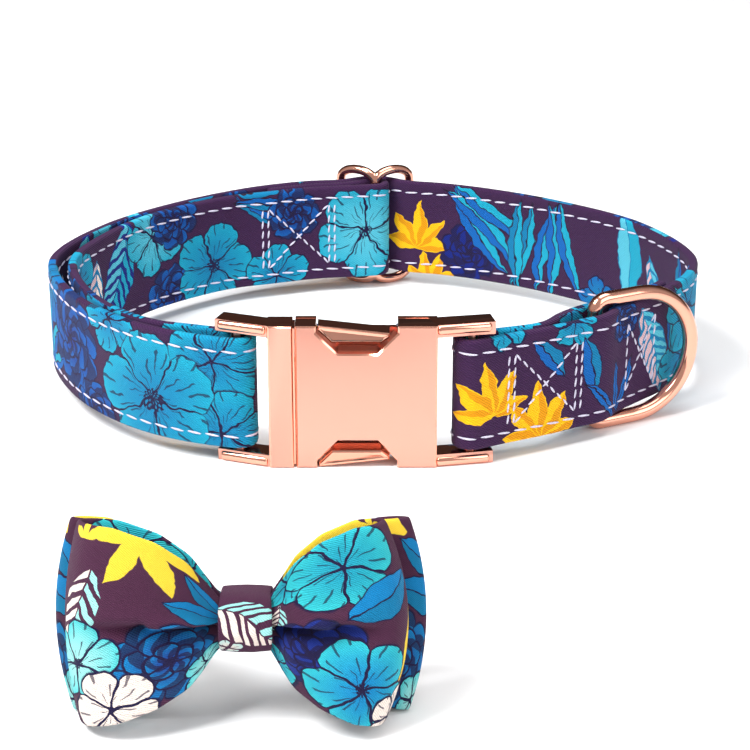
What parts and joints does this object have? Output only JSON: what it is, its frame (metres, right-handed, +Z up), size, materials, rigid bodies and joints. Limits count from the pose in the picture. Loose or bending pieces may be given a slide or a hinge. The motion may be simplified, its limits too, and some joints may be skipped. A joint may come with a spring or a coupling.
{
  "type": "pet collar with side-release buckle and slip-on bow tie",
  "caption": "Printed webbing pet collar with a rose-gold metal side-release buckle, lead ring and slide, standing closed behind its detachable cloth bow tie.",
  "frame": {"origin": "on the ground, below the middle of the whole's bounding box", "axes": "+Z up, the buckle and the bow face -Y, +X to the right of someone looking at the buckle"},
  "size_m": [0.1518, 0.2338, 0.0354],
  "materials": {
    "strap_cloth": "printed cotton twill over webbing, floral print in blues, plum and yellow, white topstitching",
    "bow_cloth": "printed cotton twill, floral print in turquoise, navy, plum and yellow",
    "rose_metal": "rose-gold plated zinc alloy, satin faces and polished edges",
    "elastic_web": "plain dark ribbed elastic"
  },
  "bodies": {
    "root": {"strap": "strap_cloth", "male_frame": "rose_metal", "female_frame": "rose_metal", "slide": "rose_metal", "bow_front": "bow_cloth", "bow_back": "bow_cloth", "bow_knot": "bow_cloth", "elastic_left": "elastic_web", "elastic_right": "elastic_web"},
    "lead_ring": {"lead_ring": "rose_metal"},
    "lever_top": {"lever_top": "rose_metal"},
    "lever_bottom": {"lever_bottom": "rose_metal"}
  },
  "joints": [
    {"name": "lead_ring_swing", "type": "hinge", "parent": "root", "child": "lead_ring", "pos_m": [0.0484, 0.0137, 0.0162], "axis": [0, 0, 1], "range_deg": [-150, 0]},
    {"name": "lever_top_press", "type": "hinge", "parent": "root", "child": "lever_top", "pos_m": [0, -0.004, 0.0297], "axis": [0, -1, 0], "range_deg": [0, 4], "stiffness_Nm_per_rad": 0.05, "springref_deg": -2.86},
    {"name": "lever_bottom_press", "type": "hinge", "parent": "root", "child": "lever_bottom", "pos_m": [0, -0.004, 0.0027], "axis": [0, 1, 0], "range_deg": [0, 4], "stiffness_Nm_per_rad": 0.05, "springref_deg": -2.86}
  ]
}
